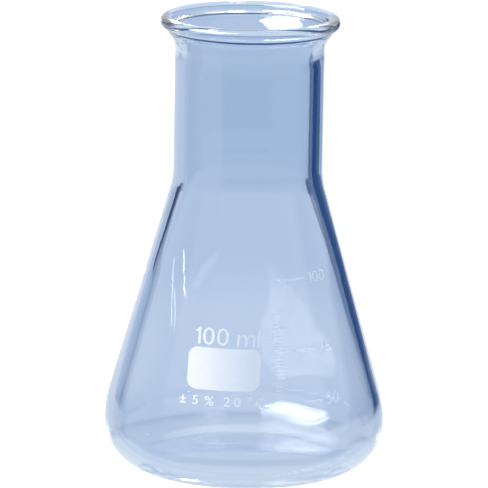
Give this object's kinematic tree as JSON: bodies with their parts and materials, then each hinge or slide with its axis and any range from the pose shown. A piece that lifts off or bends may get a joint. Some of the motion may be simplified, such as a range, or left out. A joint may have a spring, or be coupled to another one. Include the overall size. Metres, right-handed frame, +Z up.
{
  "type": "erlenmeyer flask",
  "caption": "Conical laboratory flask of clear blue-tinted glass with a straight wide neck, a beaded rim, a white writing panel and enamel volume marks.",
  "frame": {"origin": "centre of the base, on the plane that the flask stands on", "axes": "+Z up the flask's axis to the mouth; -Y is the front, where the writing panel is; +X is to the right of the panel, where the volume marks are"},
  "size_m": [0.064, 0.064, 0.105],
  "materials": {
    "glass": "clear, fire-polished",
    "enamel": "satin, fired on"
  },
  "bodies": {
    "root": {"glass_body": "glass", "writing_panel": "enamel", "capacity_digit_1": "enamel", "capacity_digit_2": "enamel", "capacity_digit_3": "enamel", "capacity_unit_m": "enamel", "capacity_unit_l": "enamel", "scale_line_50": "enamel", "scale_50_digit_1": "enamel", "scale_50_digit_2": "enamel", "scale_line_75": "enamel", "scale_75_digit_1": "enamel", "scale_75_digit_2": "enamel", "scale_line_100": "enamel", "scale_100_digit_1": "enamel", "scale_100_digit_2": "enamel", "scale_100_digit_3": "enamel"}
  },
  "joints": []
}
